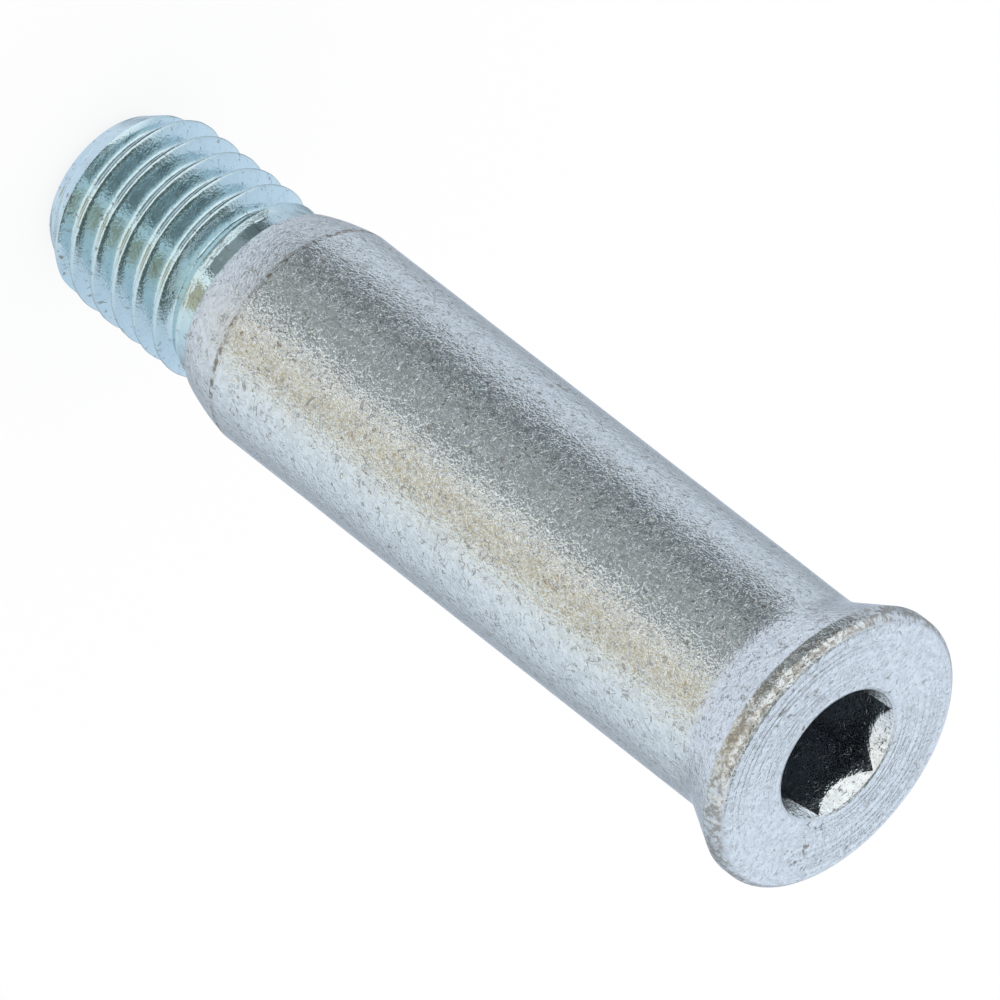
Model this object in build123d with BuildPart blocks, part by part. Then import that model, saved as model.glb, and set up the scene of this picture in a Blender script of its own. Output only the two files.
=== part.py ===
"""Shoulder bolt with a flared flat head, a hexagon socket and a right-hand thread, made as one piece.

Millimetres. +Z runs up the bolt's axis from the threaded end to the head, and the origin is the centre of the
threaded end's flat face, on which the bolt stands.
"""

import os
from math import ceil, radians, tan

from build123d import *

# Thread, from the end face up to the nose of the shoulder
thread_diameter = 6.9
thread_pitch = 1.0
thread_length = 7.5  # with the neck
crest_height = 0.1  # where the first crest crosses the +X side
end_chamfer_depth = 0.8
end_chamfer_length = 1.3
run_out_length = 0.8
flank_angle = 60

# Neck, the plain stretch of the thread's blank below the shoulder
neck_depth = 0.25  # below the thread's crest
neck_length = 0.6
neck_fillet = 0.08

# Shoulder, with a rounded nose that leads down to a small step above the neck
shoulder_diameter = 8.0
shoulder_length = 27.0  # from the step to the head's face
nose_length = 1.9
nose_bulge_radius = 9.0
nose_step = 0.3
nose_edge_radius = 0.2

# Head, a cone that flares from the shoulder to a narrow rim
head_diameter = 10.0
rim_depth = 0.7  # from the head's face to the foot of the rim
rim_edge_radius = 0.35
rim_foot_radius = 0.12
flare_angle = 55
flare_fillet = 2.0

# Hexagon socket
socket_width = 4.05  # across flats
socket_depth = 3.2
socket_chamfer = 0.35  # how far the mouth stands out from the flats
socket_chamfer_angle = 62
socket_edge_radius = 0.2
drill_point_angle = 120

# Sizes that follow
thread_radius = thread_diameter / 2
thread_depth = 0.61 * thread_pitch
crest_width = thread_pitch / 8
tooth_sink = thread_pitch / 10
tooth_width = crest_width + 2 * (thread_depth + tooth_sink) * tan(radians(flank_angle / 2))
trim_radius = thread_radius + thread_pitch / 5
root_radius = thread_radius - thread_depth
end_radius = thread_radius - end_chamfer_depth
end_chamfer_run = end_chamfer_length / end_chamfer_depth
neck_radius = thread_radius - neck_depth
neck_foot = thread_length - neck_length
run_out_run = run_out_length / neck_depth
helix_height = 0.4 * thread_pitch  # of the crest over +X while the thread is cut
ridge_start = helix_height - thread_pitch
ridge_turns = ceil(neck_foot / thread_pitch) + 2
nose_radius = neck_radius + nose_step
nose_top = thread_length + nose_length
shoulder_radius = shoulder_diameter / 2
bolt_length = thread_length + shoulder_length
head_radius = head_diameter / 2
rim_foot = bolt_length - rim_depth
flare_foot = rim_foot - (head_radius - shoulder_radius) / tan(radians(flare_angle / 2))
socket_radius = socket_width / 2
socket_floor = bolt_length - socket_depth
mouth_radius = socket_radius + socket_chamfer
mouth_floor = bolt_length - socket_chamfer / tan(radians(socket_chamfer_angle / 2))
drill_point = socket_floor - socket_radius / tan(radians(drill_point_angle / 2))

os.makedirs("parts", exist_ok=True)


def corner(sketch, radius, height):
    """The sketch's corner nearest to a radius and a height in the bolt's section."""
    return sketch.vertices().sort_by_distance((radius, height))[0]


# One turn of the thread's ridge, a tooth swept along a helix and sunk a little into the core
with BuildPart() as ridge_turn:
    with BuildLine() as ridge_path:
        Helix(thread_pitch, thread_pitch, root_radius)
    with BuildSketch(Plane(ridge_path.line @ 0, x_dir=(1, 0, 0), z_dir=ridge_path.line % 0)):
        with BuildLine():
            Polyline(
                (-tooth_sink, -tooth_width / 2),
                (thread_depth, -crest_width / 2),
                (thread_depth, crest_width / 2),
                (-tooth_sink, tooth_width / 2),
                close=True,
            )
        make_face()
    sweep(path=ridge_path.line, is_frenet=True)

# The ridge from below the end face to above the neck's foot, trimmed by the end's chamfer and by the cone on which
# its crest runs out into the neck; both cones reach past the crest, to a wall that touches nothing
with BuildPart() as thread_ridge:
    with Locations(*[(0, 0, ridge_start + turn * thread_pitch) for turn in range(ridge_turns)]):
        add(ridge_turn.part)
    with BuildSketch(Plane.XZ):
        with BuildLine():
            Polyline(
                (0, 0),
                (end_radius, 0),
                (trim_radius, (trim_radius - end_radius) * end_chamfer_run),
                (trim_radius, neck_foot - (trim_radius - neck_radius) * run_out_run),
                (neck_radius, neck_foot),
                (0, neck_foot),
                close=True,
            )
        make_face()
    revolve(axis=Axis.Z, mode=Mode.INTERSECT)

# Threaded end up to the neck's foot, where the core widens to close the grooves
with BuildPart() as threaded_end:
    with BuildSketch(Plane.XZ):
        with BuildLine():
            Polyline(
                (0, 0),
                (end_radius, 0),
                (root_radius, (root_radius - end_radius) * end_chamfer_run),
                (root_radius, neck_foot - run_out_length),
                (neck_radius, neck_foot),
                (0, neck_foot),
                close=True,
            )
        make_face()
    revolve(axis=Axis.Z)
    add(thread_ridge.part)

with BuildPart() as shoulder_bolt:
    # Turned form from the neck's foot to the head, with the socket's countersunk mouth
    with BuildSketch(Plane.XZ) as section:
        with BuildLine():
            Polyline(
                (nose_radius, thread_length),
                (neck_radius, thread_length),
                (neck_radius, neck_foot),
                (0, neck_foot),
                (0, mouth_floor),
                (socket_radius, mouth_floor),
                (mouth_radius, bolt_length),
                (head_radius, bolt_length),
                (head_radius, rim_foot),
                (shoulder_radius, flare_foot),
                (shoulder_radius, nose_top),
            )
            RadiusArc((shoulder_radius, nose_top), (nose_radius, thread_length), nose_bulge_radius)
        make_face()
        fillet(corner(section, neck_radius, thread_length), neck_fillet)
        fillet(corner(section, nose_radius, thread_length), nose_edge_radius)
        fillet(corner(section, shoulder_radius, flare_foot), flare_fillet)
        fillet(corner(section, head_radius, rim_foot), rim_foot_radius)
        fillet(corner(section, head_radius, bolt_length), rim_edge_radius)
        fillet(corner(section, mouth_radius, bolt_length), socket_edge_radius)
    revolve(axis=Axis.Z)

    # The threaded end, turned until its crests cross the +X side at the right heights
    with Locations(Location((0, 0, 0), (0, 0, 360 * (helix_height - crest_height) / thread_pitch))):
        add(threaded_end.part)

    # Socket: six flats with a corner towards +Y, above the cone that the drill left
    with BuildSketch(Plane.XY.offset(socket_floor)):
        RegularPolygon(socket_radius, 6, major_radius=False, rotation=30)
    extrude(amount=socket_depth, mode=Mode.SUBTRACT)
    with BuildSketch(Plane.XZ):
        with BuildLine():
            Polyline((0, drill_point), (socket_radius, socket_floor), (0, socket_floor), close=True)
        make_face()
    revolve(axis=Axis.Z, mode=Mode.SUBTRACT)

shoulder_bolt.part.label = "shoulder_bolt"
export_step(shoulder_bolt.part, "parts/shoulder_bolt.step")
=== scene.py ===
"""Draws a shoulder bolt in bright zinc plating, standing on its threaded end in a small white studio.

The bolt is one turned and rolled piece, so it is one mesh: rings of points from the centre of the
threaded end, over the thread, neck, nose, shoulder and head, and down into the hexagon socket. Lengths
in the code are millimetres in the bolt's own frame, with the origin at the centre of the threaded end
and +Z running to the head; they are turned to metres when the mesh is made.
"""

import math

import bpy
import numpy as np
from mathutils import Matrix, Vector


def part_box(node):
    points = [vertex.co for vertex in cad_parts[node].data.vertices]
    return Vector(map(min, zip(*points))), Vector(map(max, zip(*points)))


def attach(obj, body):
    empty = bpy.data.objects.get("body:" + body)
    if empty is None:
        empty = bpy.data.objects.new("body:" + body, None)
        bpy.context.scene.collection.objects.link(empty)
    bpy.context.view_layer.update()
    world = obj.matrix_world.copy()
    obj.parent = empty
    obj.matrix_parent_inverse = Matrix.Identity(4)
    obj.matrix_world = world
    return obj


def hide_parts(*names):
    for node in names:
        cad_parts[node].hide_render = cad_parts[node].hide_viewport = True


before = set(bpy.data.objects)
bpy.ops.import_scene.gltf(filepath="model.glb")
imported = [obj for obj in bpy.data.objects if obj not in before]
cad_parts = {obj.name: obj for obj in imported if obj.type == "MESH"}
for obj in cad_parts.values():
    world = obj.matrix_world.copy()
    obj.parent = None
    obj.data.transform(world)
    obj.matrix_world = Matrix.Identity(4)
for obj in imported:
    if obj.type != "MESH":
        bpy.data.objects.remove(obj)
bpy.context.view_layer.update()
bolt_low, bolt_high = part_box("shoulder_bolt")

bl_info = {
    "name": "Zinc-plated shoulder bolt",
    "version": (1, 0, 0),
    "blender": (4, 5, 0),
    "location": "3D View > Sidebar > Bolt",
    "description": "Builds a shoulder bolt with a rolled thread, its zinc plating and a white studio",
    "category": "Add Mesh",
}

MM = 0.001
COLUMNS = 288  # round the axis; a multiple of 24, so that the socket's corners and flats fall on columns

# Details of the section that follow the sizes in the settings, in millimetres and degrees
END_CHAMFER_DEPTH = 0.8
END_CHAMFER_LENGTH = 1.3
END_EDGE_ROUND = 0.2
THREAD_DEPTH = 0.61  # of the pitch
FLANK_ANGLE = 30  # of one flank, from the crest's middle plane
RUN_OUT = 0.8
NECK_DEPTH = 0.25
NECK_LENGTH = 0.6
NECK_ROUND = 0.08
NOSE_STEP = 0.3
NOSE_LENGTH = 1.9
NOSE_BULGE = 9.0
NOSE_EDGE_ROUND = 0.2
FLARE_ANGLE = 55
FLARE_ROUND = 2.0
RIM_DEPTH = 0.7
RIM_FOOT_ROUND = 0.12
RIM_EDGE_ROUND = 0.35
MOUTH_STEP = 0.35
MOUTH_ANGLE = 62
MOUTH_ROUND = 0.2
POINT_ANGLE = 120

CAMERA_SWING = math.radians(7.0)  # the near side of the studio, from -Y towards -X

# Knocks on the rim and the shoulder: each place's distance from the axis, height and turn from +X in degrees,
# and the width and depth of its dent
KNOCKS = (
    (5.0, 34.45, 252.3, 0.35, 0.16),
    (5.0, 34.30, 305.0, 0.30, 0.07),
    (4.0, 17.99, 284.3, 0.40, 0.05),
    (4.0, 26.37, 286.6, 0.45, 0.05),
)


# ---------------------------------------------------------------- settings


class BoltSizes(bpy.types.PropertyGroup):
    """Sizes of the bolt that its detailed mesh follows."""

    length: bpy.props.FloatProperty(
        name="Length",
        description="From the threaded end to the head's face",
        default=bolt_high.z,
        unit="LENGTH",
        precision=5,
    )
    head_diameter: bpy.props.FloatProperty(
        name="Head diameter",
        description="Across the head's rim",
        default=bolt_high.x - bolt_low.x,
        unit="LENGTH",
        precision=5,
    )
    shoulder_diameter: bpy.props.FloatProperty(
        name="Shoulder diameter",
        description="Across the plain cylinder",
        default=8.0 * MM,
        unit="LENGTH",
        precision=5,
    )
    thread_diameter: bpy.props.FloatProperty(
        name="Thread diameter",
        description="Across the crests",
        default=6.9 * MM,
        unit="LENGTH",
        precision=5,
    )
    thread_pitch: bpy.props.FloatProperty(
        name="Thread pitch",
        description="From one crest to the next",
        default=1.0 * MM,
        unit="LENGTH",
        precision=5,
    )
    thread_length: bpy.props.FloatProperty(
        name="Thread length",
        description="From the end face to the shoulder's nose, with the neck",
        default=7.5 * MM,
        unit="LENGTH",
        precision=5,
    )
    crest_height: bpy.props.FloatProperty(
        name="Crest height",
        description="Height at which the first crest crosses the +X side",
        default=0.1 * MM,
        unit="LENGTH",
        precision=5,
    )
    socket_width: bpy.props.FloatProperty(
        name="Socket width",
        description="Across two opposite flats of the hexagon",
        default=4.05 * MM,
        unit="LENGTH",
        precision=5,
    )
    socket_depth: bpy.props.FloatProperty(
        name="Socket depth",
        description="From the head's face to the end of the flats",
        default=3.2 * MM,
        unit="LENGTH",
        precision=5,
    )


def linear(hex_colour):
    """Linear RGBA of an sRGB colour written as hex."""
    channels = [int(hex_colour[k : k + 2], 16) / 255 for k in (0, 2, 4)]
    return tuple(c / 12.92 if c <= 0.04045 else ((c + 0.055) / 1.055) ** 2.4 for c in channels) + (1.0,)


class PlatingLook(bpy.types.PropertyGroup):
    """Colours of the plating, of its wear and of the reflection painted on its rim."""

    zinc: bpy.props.FloatVectorProperty(
        name="Zinc",
        description="Bright zinc under its clear blue passivation",
        subtype="COLOR",
        size=3,
        min=0.0,
        max=1.0,
        default=linear("DEE4E8")[:3],
    )
    # This colour also paints the brownish-grey reflection round the rim and the brownish line round the nose's
    # top edge
    stain_and_reflection: bpy.props.FloatVectorProperty(
        name="Stain",
        description="Brownish specks and worn edges",
        subtype="COLOR",
        size=3,
        min=0.0,
        max=1.0,
        default=linear("6E5E4A")[:3],
    )


class StudioLook(bpy.types.PropertyGroup):
    """The light round the bolt."""

    background: bpy.props.FloatVectorProperty(
        name="Background",
        description="Colour of the floor and of the backdrop",
        subtype="COLOR",
        size=3,
        min=0.0,
        max=1.0,
        default=(1.0, 1.0, 1.0),
    )
    soft_light: bpy.props.FloatProperty(
        name="Soft light",
        description="Strength of the even light from all round",
        default=1.0,
        min=0.0,
    )


# ---------------------------------------------------------------- shape


def smooth_min(a, b, width):
    """The lesser of a and b, with the corner between them rounded over a width."""
    return (a + b - np.sqrt((a - b) ** 2 + width**2)) / 2


def smooth_max(a, b, width):
    """The greater of a and b, with the corner between them rounded over a width."""
    return -smooth_min(-a, -b, width)


def arc(centre, radius, start, stop, steps):
    """Points (radius, height) of an arc in the bolt's section, with angles in degrees from outward."""
    angles = np.radians(np.linspace(start, stop, steps))
    return [(centre[0] + radius * math.cos(t), centre[1] + radius * math.sin(t)) for t in angles]


def line(start, stop, steps):
    """Points from start up to, and not including, stop."""
    return [
        (start[0] + (stop[0] - start[0]) * k / steps, start[1] + (stop[1] - start[1]) * k / steps)
        for k in range(steps)
    ]


class Rings:
    """Grows a closed skin from rings of points, all with the same columns round the axis."""

    def __init__(self):
        self.turn = np.arange(COLUMNS) * 2 * math.pi / COLUMNS
        self.points = []
        self.faces = []
        self.count = 0
        self.last = None

    def add_points(self, radius, height):
        radius = np.broadcast_to(radius, COLUMNS)
        height = np.broadcast_to(height, COLUMNS)
        self.points.append(np.column_stack((radius * np.cos(self.turn), radius * np.sin(self.turn), height)))
        self.count += COLUMNS
        return np.arange(self.count - COLUMNS, self.count)

    def centre(self, height):
        """A point on the axis, as a ring whose columns all share it."""
        self.points.append(np.array([[0.0, 0.0, height]]))
        self.count += 1
        return np.full(COLUMNS, self.count - 1)

    def join(self, ring):
        """Faces from the last ring to this one."""
        if self.last is not None:
            self.bridge(self.last, ring, np.roll(self.last, -1), np.roll(ring, -1))
        self.last = ring

    def bridge(self, low, high, next_low, next_high):
        for corners in zip(low, next_low, next_high, high):
            face = [c for k, c in enumerate(corners) if c != corners[k - 1]]
            if len(set(face)) == len(face) > 2:
                self.faces.append(face)

    def ring(self, radius, height):
        self.join(self.add_points(radius, height))


def thread_rows(sizes, low, high):
    """Heights over +X where the helical rows start, closer together where the tooth bends."""
    pitch = sizes["thread_pitch"]
    side = [0.03, 0.05, 0.07, 0.095, 0.16, 0.25, 0.34, 0.385, 0.415, 0.45]
    steps = sorted([-s for s in side] + [0.0, 0.5] + side)
    turns = int((high - low) / pitch) + 4
    rows = [sizes["crest_height"] + pitch * (k + s) for k in range(-2, turns) for s in steps]
    first = max(k for k, v in enumerate(rows) if v <= low - pitch)
    last = min(k for k, v in enumerate(rows) if v >= high)
    return np.array(rows[first : last + 1]), len(steps)


def tooth_radius(sizes, offset):
    """Radius of the thread at an axial distance from its crest's middle line."""
    pitch = sizes["thread_pitch"]
    crest = sizes["thread_diameter"] / 2
    root = crest - THREAD_DEPTH * pitch
    away = np.abs((offset / pitch + 0.5) % 1.0 - 0.5) * pitch
    flank = crest - (away - pitch / 16) / math.tan(math.radians(FLANK_ANGLE))
    return smooth_max(smooth_min(flank, crest, 0.05), root, 0.09) - 0.0006


def bolt_skin(sizes):
    """The rings of the whole bolt."""
    skin = Rings()
    turn = skin.turn
    pitch = sizes["thread_pitch"]
    crest = sizes["thread_diameter"] / 2
    root = crest - THREAD_DEPTH * pitch
    neck = crest - NECK_DEPTH
    end = crest - END_CHAMFER_DEPTH
    chamfer_slope = END_CHAMFER_DEPTH / END_CHAMFER_LENGTH
    neck_foot = sizes["thread_length"] - NECK_LENGTH
    nose_foot = sizes["thread_length"]
    shoulder = sizes["shoulder_diameter"] / 2
    head = sizes["head_diameter"] / 2
    top = sizes["length"]
    nose = neck + NOSE_STEP

    # End face, a little hollow where it was cropped, and its rounded edge
    skin.join(skin.centre(0.05))
    for radius, height in [(0.6, 0.045), (1.3, 0.03), (2.0, 0.008), (end - 0.2, 0.0)]:
        skin.ring(radius, height)
    edge = math.degrees(math.atan2(END_CHAMFER_LENGTH, END_CHAMFER_DEPTH))
    edge_tangent = END_EDGE_ROUND * math.tan(math.radians(edge / 2))
    for radius, height in arc((end - edge_tangent, END_EDGE_ROUND), END_EDGE_ROUND, -90, -90 + edge, 5):
        skin.ring(radius, height)

    # Thread: rows that climb one pitch a turn, held between the chamfer's first ring and the neck's foot
    low = skin.points[-1][0, 2] + 0.01
    high = neck_foot
    low_ring = skin.add_points(end + low * chamfer_slope, low)
    skin.join(low_ring)
    starts, per_turn = thread_rows(sizes, low, high)
    climb = pitch * turn / (2 * math.pi)
    table = []
    for start in starts:
        height = start + climb
        radius = tooth_radius(sizes, start - sizes["crest_height"])
        radius = smooth_min(radius, end + height * chamfer_slope, 0.05)
        fade = (height - (neck_foot - RUN_OUT)) / RUN_OUT
        radius = smooth_min(radius, crest - NECK_DEPTH * fade, 0.03)
        radius = np.where(fade > -0.1, smooth_max(radius, root + (neck - root) * fade, 0.03), radius)
        height = np.where(height < low + 0.008, low, np.where(height > high - 0.008, high, height))
        table.append((radius, height))
    ids = np.zeros((len(starts), COLUMNS), int)
    for k, (radius, height) in enumerate(table):
        kept = (height > low) & (height < high)
        numbers = skin.count + np.cumsum(kept) - 1
        ids[k] = np.where(kept, numbers, np.where(height <= low, low_ring, -1))
        points = np.column_stack((radius * np.cos(turn), radius * np.sin(turn), height))[kept]
        skin.points.append(points)
        skin.count += len(points)
    high_ring = skin.add_points(neck, high)
    ids = np.where(ids < 0, high_ring[None, :], ids)
    for k in range(len(starts) - 1):
        low_row, high_row = ids[k], ids[k + 1]
        after = min(k + per_turn, len(starts) - 1)
        after_high = min(k + 1 + per_turn, len(starts) - 1)
        next_low = np.append(low_row[1:], ids[after][0])
        next_high = np.append(high_row[1:], ids[after_high][0])
        skin.bridge(low_row, high_row, next_low, next_high)
    skin.last = high_ring

    # Neck, the small step above it and the nose that widens to the shoulder
    outline = line((neck, neck_foot + 0.1), (neck, nose_foot - NECK_ROUND), 4)
    outline += arc((neck + NECK_ROUND, nose_foot - NECK_ROUND), NECK_ROUND, 180, 90, 4)
    chord = math.hypot(shoulder - nose, NOSE_LENGTH)
    middle = ((shoulder + nose) / 2, nose_foot + NOSE_LENGTH / 2)
    reach = math.sqrt(NOSE_BULGE**2 - chord**2 / 4)
    centre = (middle[0] - reach * NOSE_LENGTH / chord, middle[1] + reach * (shoulder - nose) / chord)
    foot_angle = math.degrees(math.atan2(nose_foot + 0.16 - centre[1], nose + 0.05 - centre[0]))
    top_angle = math.degrees(math.atan2(nose_foot + NOSE_LENGTH - centre[1], shoulder - centre[0]))
    bow = arc(centre, NOSE_BULGE, foot_angle, top_angle, 12)
    edge_centre = (bow[0][0] - NOSE_EDGE_ROUND, bow[0][1] + 0.045)
    outline += arc(edge_centre, NOSE_EDGE_ROUND, -90, foot_angle, 5)
    outline += bow[1:]

    # Shoulder, flare and rim
    flare_half = math.radians(FLARE_ANGLE / 2)
    rim_foot = top - RIM_DEPTH
    flare_foot = rim_foot - (head - shoulder) / math.tan(flare_half)
    blend_tangent = FLARE_ROUND * math.tan(flare_half / 2)
    blend_low = flare_foot - blend_tangent
    outline += line((shoulder, nose_foot + 2.3), (shoulder, blend_low), 26)
    outline += arc((shoulder + FLARE_ROUND, blend_low), FLARE_ROUND, 180, 180 - math.degrees(flare_half), 9)
    cone_start = outline[-1]
    foot_tangent = RIM_FOOT_ROUND * math.tan(flare_half / 2)
    cone_stop = (head - foot_tangent * math.sin(flare_half), rim_foot - foot_tangent * math.cos(flare_half))
    outline += line(cone_start, cone_stop, 7)[1:]
    foot_centre = (head - RIM_FOOT_ROUND, rim_foot + foot_tangent)
    outline += arc(foot_centre, RIM_FOOT_ROUND, -math.degrees(flare_half), 0, 4)
    outline += line((head, rim_foot + 0.06), (head, top - RIM_EDGE_ROUND), 4)
    outline += arc((head - RIM_EDGE_ROUND, top - RIM_EDGE_ROUND), RIM_EDGE_ROUND, 0, 90, 10)
    mouth_half = math.radians(MOUTH_ANGLE / 2)
    across = sizes["socket_width"] / 2
    mouth = across + MOUTH_STEP
    mouth_tangent = MOUTH_ROUND * math.tan((math.pi / 2 - mouth_half) / 2)
    outline += line((head - 0.45, top), (mouth + mouth_tangent, top), 16)
    for radius, height in outline:
        skin.ring(radius, height)

    # Socket: the countersunk mouth as depth for each radius, met by the hexagon's flats, then the flats,
    # the shelf that they leave and the drilled point
    rounding_centre = (mouth + mouth_tangent, top - MOUTH_ROUND)
    rounding = arc(rounding_centre, MOUTH_ROUND, 90, 180 - math.degrees(mouth_half), 9)
    mouth_radii = np.array([p[0] for p in rounding] + [across - 0.3])
    mouth_depths = np.array([top - p[1] for p in rounding] + [0.0])
    mouth_depths[-1] = mouth_depths[-2] + (mouth_radii[-2] - mouth_radii[-1]) / math.tan(mouth_half)
    flat = across / np.cos((turn + math.pi / 6) % (math.pi / 3) - math.pi / 6)
    edge_depth = np.interp(-flat, -mouth_radii, mouth_depths)
    for k in range(13):
        depth = edge_depth * k / 12
        radius = np.interp(depth, mouth_depths, mouth_radii)
        skin.ring(radius, top - depth)
    floor = sizes["socket_depth"]
    for k in range(1, 11):
        depth = edge_depth + (floor - edge_depth) * k / 10
        skin.ring(flat, top - depth)
    skin.ring(across - 0.02, top - floor - 0.01)
    point = across / math.tan(math.radians(POINT_ANGLE / 2))
    for k in range(1, 6):
        skin.ring((across - 0.02) * (1 - k / 6), top - floor - 0.01 - point * k / 6)
    skin.join(skin.centre(top - floor - point))
    return skin


def wobble(points, length, seed):
    """Smooth noise from -1 to 1, whose hills are about a length apart."""
    source = np.random.default_rng(seed)
    total = np.zeros(len(points))
    waves = 14
    for _ in range(waves):
        direction = source.normal(size=3)
        direction /= np.linalg.norm(direction)
        frequency = source.uniform(0.6, 1.4) * 2 * math.pi / length
        total += np.sin(points @ direction * frequency + source.uniform(0, 2 * math.pi))
    return total / math.sqrt(waves * 2)


def weathered(points, sizes):
    """The skin's points with the low swells that the lathe, the rolling and the plating leave."""
    radius = np.hypot(points[:, 0], points[:, 1])
    outward = points * [1, 1, 0] / np.maximum(radius, 1e-6)[:, None]
    shift = 0.0035 * wobble(points, 3.0, 1) + 0.002 * wobble(points, 0.9, 2)
    on_thread = np.clip((sizes["thread_length"] - points[:, 2]) / 0.4, 0, 1)
    shift += on_thread * 0.006 * wobble(points, 0.7, 3)
    in_socket = radius < sizes["socket_width"] / 2 + 0.6
    shift = np.where(in_socket & (points[:, 2] > sizes["thread_length"]), 0.3 * shift, shift)
    fade = np.clip(radius / 0.5, 0, 1) * np.clip(points[:, 2] / 0.3, 0, 1)
    return points + outward * (shift * fade)[:, None]


def knock(points, place, size, depth, along):
    """Pushes a rounded dent into the skin at a place, along a direction."""
    away = (points - place) / size
    weight = np.exp(-(away**2).sum(1) * 2.5)
    return points + np.array(along) * (depth * weight)[:, None]


# ---------------------------------------------------------------- materials


def node(tree, kind, inputs=None, **settings):
    """A new node with its settings, its input values and its links.

    An input given as a socket is linked. So is one given as a node, from its first output in use.
    """
    made = tree.nodes.new("ShaderNode" + kind)
    for name, value in settings.items():
        setattr(made, name, value)
    for name, value in (inputs or {}).items():
        if isinstance(value, bpy.types.Node):
            value = next(output for output in value.outputs if output.enabled)
        if isinstance(value, bpy.types.NodeSocket):
            tree.links.new(value, made.inputs[name])
        else:
            made.inputs[name].default_value = value
    return made


def zinc_material(look, sizes):
    """Bright electroplated zinc over turned steel, passivated to a faint blue.

    The plating keeps the grain of the steel, so it sparkles finely on the shoulder. The rolled thread under
    it is burnished and glossier, and the nose and the head's face are duller. Brownish specks sit where it
    was handled.
    """
    material = bpy.data.materials.new("zinc_plated_steel")
    material.use_nodes = True
    tree = material.node_tree
    shader = tree.nodes["Principled BSDF"]
    place = node(tree, "TexCoord").outputs["Object"]
    x, y, height = node(tree, "SeparateXYZ", {"Vector": place}).outputs
    squares = [node(tree, "Math", {0: side, 1: 2.0}, operation="POWER") for side in (x, y)]
    square = node(tree, "Math", dict(enumerate(squares)), operation="ADD")
    radius = node(tree, "Math", {0: square}, operation="SQRT")

    # Noises whose grains have a width in millimetres; a noise's whole wave is two grains wide. The plating's own
    # crystals are far finer than these, and are drawn as coarse as they show
    noises = {
        name: node(
            tree,
            "TexNoise",
            {"Vector": place, "Scale": 1 / (width * MM * 2), "Detail": detail, "Distortion": distortion},
        )
        for name, width, detail, distortion in (
            ("fine", 0.04, 1.0, 0.0),
            ("medium", 0.12, 2.0, 0.8),
            ("broad", 1.6, 3.0, 0.0),
            ("curls", 0.22, 1.0, 1.5),
            ("gaps", 0.18, 1.0, 0.0),
            ("specks", 0.10, 2.0, 0.6),
        )
    }
    medium = noises["medium"]
    curl = node(tree, "Math", {0: noises["curls"], 1: 0.5}, operation="SUBTRACT")
    curl_line = node(tree, "Math", {0: curl}, operation="ABSOLUTE")

    # Masks that rise smoothly from 0 to 1 as a height, a distance from the axis or a noise goes from start
    # to stop
    top = sizes["length"] * MM
    nose_foot = sizes["thread_length"] * MM
    head = sizes["head_diameter"] / 2
    across = sizes["socket_width"] / 2
    masks = {
        name: node(
            tree,
            "MapRange",
            {"Value": value, "From Min": start, "From Max": stop},
            interpolation_type="SMOOTHSTEP",
        )
        for name, value, start, stop in (
            ("thread", height, nose_foot + 0.1 * MM, nose_foot - 0.1 * MM),
            ("past_nose_foot", height, nose_foot - 0.1 * MM, nose_foot + 0.1 * MM),
            ("before_nose_top", height, nose_foot + 2.1 * MM, nose_foot + 1.8 * MM),
            ("edge_start", height, nose_foot + 1.78 * MM, nose_foot + 1.88 * MM),
            ("edge_stop", height, nose_foot + 2.06 * MM, nose_foot + 1.96 * MM),
            ("face", height, top - 0.1 * MM, top - 0.02 * MM),
            ("past_rim_foot", height, top - 0.8 * MM, top - 0.6 * MM),
            ("near_rim", radius, (head - 0.25) * MM, (head - 0.1) * MM),
            ("within_mouth", radius, (across + 0.6) * MM, (across + 0.5) * MM),
            ("under_mouth", height, top - 0.55 * MM, top - 0.95 * MM),
            ("curls", curl_line, 0.030, 0.012),
            ("gaps", noises["gaps"], 0.52, 0.60),
            ("specks", noises["specks"], 0.63, 0.69),
            ("patches", noises["broad"], 0.45, 0.65),
            ("rim_reflection_patches", medium, 0.40, 0.60),
            ("edge_patches", medium, 0.42, 0.62),
            ("dull_patches", medium, 0.60, 0.38),
        )
    }
    for name, first, second in (
        ("nose", "past_nose_foot", "before_nose_top"),
        ("rim", "past_rim_foot", "near_rim"),
        ("socket", "within_mouth", "under_mouth"),
        ("edge_line", "edge_start", "edge_stop"),
        ("strokes", "curls", "gaps"),
        # The rim's patches paint a brownish-grey reflection round the rim in the stain colour
        ("rim_painted_reflection", "rim", "rim_reflection_patches"),
        # A brownish line in patches is painted round the edge between nose and shoulder
        ("edge_brown_line", "edge_line", "edge_patches"),
    ):
        masks[name] = node(tree, "Math", {0: masks[first], 1: masks[second]}, operation="MULTIPLY")

    # The face and the thread have fewer of the short curled strokes
    plain = node(tree, "Math", {0: masks["face"], 1: masks["thread"]}, operation="ADD")
    share = node(tree, "Math", {0: plain, 1: -0.65, 2: 1.0}, operation="MULTIPLY_ADD")
    strokes = node(tree, "Math", {0: masks["strokes"], 1: share}, operation="MULTIPLY")

    # Wear and painted reflection: a painted brownish-grey reflection in patches round the rim, a brownish line
    # round the edge between nose and shoulder, specks that gather in patches, and the strokes
    speck_share = node(tree, "Math", {0: masks["patches"], 1: 0.35, 2: 0.35}, operation="MULTIPLY_ADD")
    speck_wear = node(tree, "Math", {0: masks["specks"], 1: speck_share}, operation="MULTIPLY")
    wear_and_reflection = speck_wear
    for mask, strength in ((masks["rim_painted_reflection"], 0.62), (masks["edge_brown_line"], 0.8), (strokes, 0.45)):
        other = node(tree, "Math", {0: mask, 1: strength}, operation="MULTIPLY")
        wear_and_reflection = node(tree, "Math", {0: wear_and_reflection, 1: other}, operation="MAXIMUM")
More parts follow.
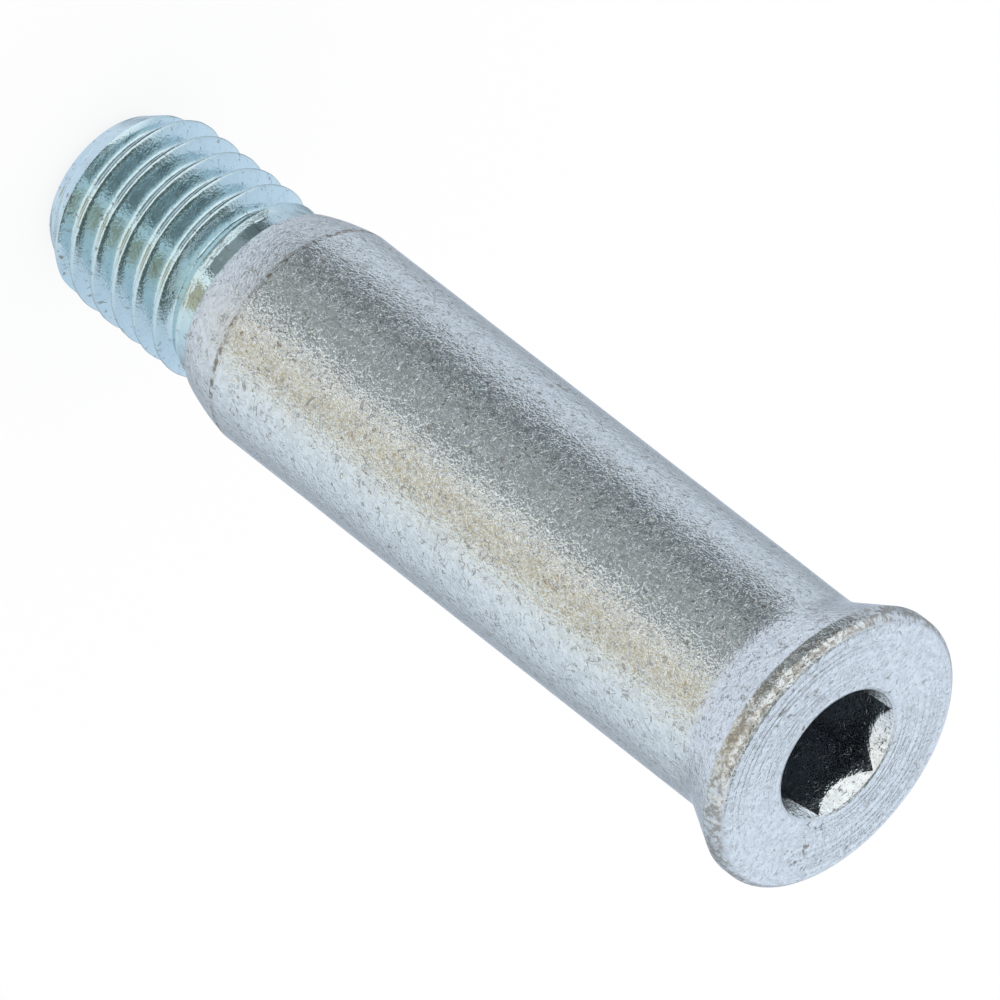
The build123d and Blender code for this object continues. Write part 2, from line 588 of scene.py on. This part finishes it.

    # Colour: bright zinc, duller in places, darkened by painted shade down in the socket, bluer on the burnished
    # thread
    # Painted shade: down in the socket the zinc is mixed 0.6 of the way to a dark blue-grey
    socket_shade_share = node(tree, "Math", {0: masks["socket"], 1: 0.6}, operation="MULTIPLY")
    thread_share = node(tree, "Math", {0: masks["thread"], 1: 0.8}, operation="MULTIPLY")
    colour = (*look.zinc, 1.0)
    for share, layer in (
        (masks["dull_patches"], tuple(c * 0.86 for c in look.zinc) + (1.0,)),
        (socket_shade_share, linear("4A5260")),
        (thread_share, linear("B9D3DC")),
        (wear_and_reflection, (*look.stain_and_reflection, 1.0)),
    ):
        colour = node(tree, "Mix", {0: share, 6: colour, 7: layer}, data_type="RGBA")
    tree.links.new(colour.outputs[2], shader.inputs["Base Color"])
    shader.inputs["Metallic"].default_value = 1.0

    # Gloss: the burnished thread, the grained shoulder, the duller nose and face
    duller = node(tree, "Math", {0: masks["nose"], 1: masks["face"]}, operation="ADD")
    rough = node(tree, "Math", {0: masks["thread"], 1: -0.05, 2: 0.13}, operation="MULTIPLY_ADD")
    for part, strength in ((duller, 0.15), (medium, 0.08), (wear_and_reflection, 0.15)):
        rough = node(tree, "Math", {0: part, 1: strength, 2: rough}, operation="MULTIPLY_ADD")
    tree.links.new(rough.outputs[0], shader.inputs["Roughness"])

    # Relief: grain with the strokes cut in, fainter on the thread, and the lathe's rings on the face
    rings = node(
        tree,
        "TexNoise",
        {"W": radius, "Scale": 1 / (0.16 * MM), "Detail": 2.0},
        noise_dimensions="1D",
    )
    relief = node(tree, "Math", {0: noises["fine"], 1: 0.75, 2: medium}, operation="MULTIPLY_ADD")
    relief = node(tree, "Math", {0: strokes, 1: -0.5, 2: relief}, operation="MULTIPLY_ADD")
    grained = node(tree, "Math", {0: masks["thread"], 1: -0.75, 2: 1.0}, operation="MULTIPLY_ADD")
    relief = node(tree, "Math", {0: relief, 1: grained}, operation="MULTIPLY")
    face_rings = node(tree, "Math", {0: rings, 1: masks["face"]}, operation="MULTIPLY")
    relief = node(tree, "Math", {0: face_rings, 1: 1.6, 2: relief}, operation="MULTIPLY_ADD")
    bump = node(tree, "Bump", {"Height": relief, "Strength": 1.0, "Distance": 0.034 * MM})
    tree.links.new(bump.outputs["Normal"], shader.inputs["Normal"])
    return material


# ---------------------------------------------------------------- operators


class MESH_OT_shoulder_bolt(bpy.types.Operator):
    """Build the detailed bolt in place of the plain one"""

    bl_idname = "mesh.zinc_shoulder_bolt"
    bl_label = "Shoulder bolt"
    bl_options = {"REGISTER", "UNDO"}

    def execute(self, context):
        settings = context.scene.bolt_sizes
        sizes = {name: getattr(settings, name) / MM for name in BoltSizes.__annotations__}
        skin = bolt_skin(sizes)
        points = weathered(np.concatenate(skin.points), sizes)
        for radius, height, turn, size, depth in KNOCKS:
            outward = np.array([math.cos(math.radians(turn)), math.sin(math.radians(turn)), 0.0])
            points = knock(points, outward * radius + [0, 0, height], size, depth, -outward)
        mesh = bpy.data.meshes.new("plated_bolt")
        mesh.from_pydata((points * MM).tolist(), [], [list(map(int, f)) for f in skin.faces])
        mesh.validate()
        mesh.update()
        mesh.shade_smooth()
        mesh.set_sharp_from_angle(angle=math.radians(38))
        bolt = bpy.data.objects.new("plated_bolt", mesh)
        context.scene.collection.objects.link(bolt)
        mesh.materials.append(zinc_material(context.scene.plating_look, sizes))
        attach(bolt, "root")
        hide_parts("shoulder_bolt")
        return {"FINISHED"}


class SCENE_OT_white_studio(bpy.types.Operator):
    """Set up the floor, the light and the camera"""

    bl_idname = "scene.white_studio"
    bl_label = "White studio"
    bl_options = {"REGISTER", "UNDO"}

    def execute(self, context):
        scene = context.scene
        scene.view_settings.view_transform = "Standard"
        make_floor(scene)
        make_world(scene)
        make_camera(scene)
        return {"FINISHED"}


def make_floor(scene):
    """A plain white table top, seen near full white with the bolt's soft shadow left in it."""
    size = 0.6
    low = bolt_low.z - 0.0002
    mesh = bpy.data.meshes.new("floor")
    corners = [(-size, -size, low), (size, -size, low), (size, size, low), (-size, size, low)]
    mesh.from_pydata(corners, [], [(0, 1, 2, 3)])
    floor = bpy.data.objects.new("floor", mesh)
    scene.collection.objects.link(floor)
    material = bpy.data.materials.new("matt_white_paint")
    material.use_nodes = True
    tree = material.node_tree
    background = (*scene.studio_look.background, 1.0)
    paint = tree.nodes["Principled BSDF"]
    paint.inputs["Base Color"].default_value = background
    paint.inputs["Roughness"].default_value = 0.9
    glow = node(tree, "Emission", {"Color": background, "Strength": 1.0})
    seen = node(tree, "LightPath").outputs["Is Camera Ray"]
    share = node(tree, "Math", {0: seen, 1: 0.85}, operation="MULTIPLY")
    mixed = node(tree, "MixShader", {0: share, 1: paint, 2: glow})
    tree.links.new(mixed.outputs[0], tree.nodes["Material Output"].inputs["Surface"])
    mesh.materials.append(material)
    floor.visible_glossy = False


def panels_round(tree, turn, panels):
    """Colours that go round the studio, from (turn in degrees, colour) of each panel's middle or edge."""
    share = node(tree, "MapRange", {"Value": turn, "From Min": -180.0, "From Max": 180.0})
    made = node(tree, "ValToRGB", {"Fac": share})
    elements = made.color_ramp.elements
    for k, (angle, colour) in enumerate(panels):
        element = elements[k] if k < 2 else elements.new(0.999)
        element.position = (angle + 180) / 360
        element.color = (*colour, 1.0)
    return made


def make_world(scene):
    """White all round for the eye and for soft light; the plating mirrors a studio of soft panels.

    The panels are a dark one low on the near side, a bright strip beside it with a warm one next, a bright
    lamp higher up and a dark ceiling. Turns are taken from the near side, and rises from the horizon, in
    degrees.
    """
    world = bpy.data.worlds.new("studio")
    scene.world = world
    world.use_nodes = True
    tree = world.node_tree
    way = node(tree, "TexCoord").outputs["Generated"]
    across = (math.cos(CAMERA_SWING), -math.sin(CAMERA_SWING), 0.0)
    towards = (-math.sin(CAMERA_SWING), -math.cos(CAMERA_SWING), 0.0)
    side, near = (
        node(tree, "VectorMath", {0: way, 1: axis}, operation="DOT_PRODUCT") for axis in (across, towards)
    )
    up = node(tree, "SeparateXYZ", {"Vector": way}).outputs["Z"]
    turn_angle = node(tree, "Math", {0: side, 1: near}, operation="ARCTAN2")
    rise_angle = node(tree, "Math", {0: up}, operation="ARCSINE")
    turn, rise = (
        node(tree, "Math", {0: angle, 1: math.degrees(1)}, operation="MULTIPLY")
        for angle in (turn_angle, rise_angle)
    )
    low = panels_round(
        tree,
        turn,
        [
            (-180, (0.60, 0.68, 0.80)),
            (-150, (0.30, 0.33, 0.36)),
            (-120, (0.60, 0.66, 0.72)),
            (-92, (0.66, 0.70, 0.76)),
            (-80, (0.14, 0.16, 0.16)),
            (-52, (0.16, 0.18, 0.18)),
            (-42, (0.33, 0.35, 0.35)),
            (7, (0.24, 0.26, 0.24)),
            (12, (0.98, 1.0, 1.0)),
            (23, (1.0, 0.99, 0.95)),
            (27, (0.46, 0.40, 0.28)),
            (54, (0.55, 0.48, 0.34)),
            (60, (0.82, 0.86, 0.86)),
            (110, (0.62, 0.68, 0.74)),
            (150, (0.32, 0.35, 0.38)),
            (180, (0.60, 0.68, 0.80)),
        ],
    )
    high = panels_round(
        tree,
        turn,
        [
            (-180, (0.80, 0.86, 0.96)),
            (-110, (0.62, 0.68, 0.76)),
            (-80, (1.0, 1.0, 0.98)),
            (-30, (1.0, 1.0, 0.98)),
            (40, (0.96, 0.93, 0.86)),
            (80, (0.80, 0.82, 0.84)),
            (120, (0.60, 0.66, 0.74)),
            (180, (0.80, 0.86, 0.96)),
        ],
    )
    mirrored = low
    for start, stop, layer in (
        (-18.0, 2.0, high),
        (-48.0, -62.0, (0.72, 0.76, 0.84, 1.0)),
        (48.0, 62.0, (0.10, 0.13, 0.12, 1.0)),
    ):
        reached = node(
            tree,
            "MapRange",
            {"Value": rise, "From Min": start, "From Max": stop},
            interpolation_type="SMOOTHSTEP",
        )
        mirrored = node(tree, "Mix", {0: reached, 6: mirrored, 7: layer}, data_type="RGBA")
    light = scene.studio_look.soft_light
    path = node(tree, "LightPath").outputs
    plain = node(tree, "Background", {"Color": (1.0, 1.0, 1.0, 1.0), "Strength": light})
    panels = node(tree, "Background", {"Color": mirrored, "Strength": 1.25 * light})
    backdrop = node(tree, "Background", {"Color": (*scene.studio_look.background, 1.0), "Strength": 1.0})
    unseen = node(tree, "MixShader", {0: path["Is Glossy Ray"], 1: plain, 2: panels})
    seen = node(tree, "MixShader", {0: path["Is Camera Ray"], 1: unseen, 2: backdrop})
    tree.links.new(seen.outputs[0], tree.nodes["World Output"].inputs["Surface"])


def make_camera(scene):
    """A long lens, looking down on the head, with the bolt leaning across the picture."""
    lens_pixels = 20583.0
    data = bpy.data.cameras.new("camera")
    data.sensor_width = 36.0
    data.lens = lens_pixels * 36.0 / 1000
    camera = bpy.data.objects.new("camera", data)
    tilt = math.radians(57.294)
    lean = math.radians(38.026)
    axis = Vector(
        (math.sin(tilt) * math.cos(lean), math.sin(tilt) * math.sin(lean), -math.cos(tilt))
    )
    across = Vector((-math.sin(lean), math.cos(lean), 0.0))
    away = Vector(
        (math.cos(tilt) * math.cos(lean), math.cos(tilt) * math.sin(lean), math.sin(tilt))
    )
    world_axis = Vector((0, 0, 1))
    world_across = Vector((math.cos(CAMERA_SWING), -math.sin(CAMERA_SWING), 0))
    world_away = Vector((math.sin(CAMERA_SWING), math.cos(CAMERA_SWING), 0))

    def to_world(v):
        return world_axis * v.dot(axis) + world_across * v.dot(across) + world_away * v.dot(away)

    distance = 638.244
    face = Vector((338.177 / lens_pixels * distance, 254.855 / lens_pixels * distance, distance))
    place = Vector((0, 0, bolt_high.z)) - to_world(face) * MM
    turned = Matrix([to_world(Vector(side)) for side in ((1, 0, 0), (0, -1, 0), (0, 0, -1))])
    camera.matrix_world = Matrix.Translation(place) @ turned.transposed().to_4x4()
    data.clip_start = 0.01
    data.clip_end = 10
    scene.collection.objects.link(camera)
    scene.camera = camera


class VIEW3D_PT_bolt(bpy.types.Panel):
    """Lists the bolt's operators and settings"""

    bl_label = "Shoulder bolt"
    bl_space_type = "VIEW_3D"
    bl_region_type = "UI"
    bl_category = "Bolt"

    def draw(self, context):
        layout = self.layout
        layout.operator(MESH_OT_shoulder_bolt.bl_idname)
        layout.operator(SCENE_OT_white_studio.bl_idname)
        for group in (context.scene.bolt_sizes, context.scene.plating_look, context.scene.studio_look):
            box = layout.box()
            for name in group.__annotations__:
                box.prop(group, name)


CLASSES = (BoltSizes, PlatingLook, StudioLook, MESH_OT_shoulder_bolt, SCENE_OT_white_studio, VIEW3D_PT_bolt)


def register():
    for each in CLASSES:
        bpy.utils.register_class(each)
    bpy.types.Scene.bolt_sizes = bpy.props.PointerProperty(type=BoltSizes)
    bpy.types.Scene.plating_look = bpy.props.PointerProperty(type=PlatingLook)
    bpy.types.Scene.studio_look = bpy.props.PointerProperty(type=StudioLook)


def unregister():
    del bpy.types.Scene.studio_look
    del bpy.types.Scene.plating_look
    del bpy.types.Scene.bolt_sizes
    for each in reversed(CLASSES):
        bpy.utils.unregister_class(each)


def main():
    register()
    bpy.ops.mesh.zinc_shoulder_bolt()
    bpy.ops.scene.white_studio()


if __name__ == "__main__":
    main()
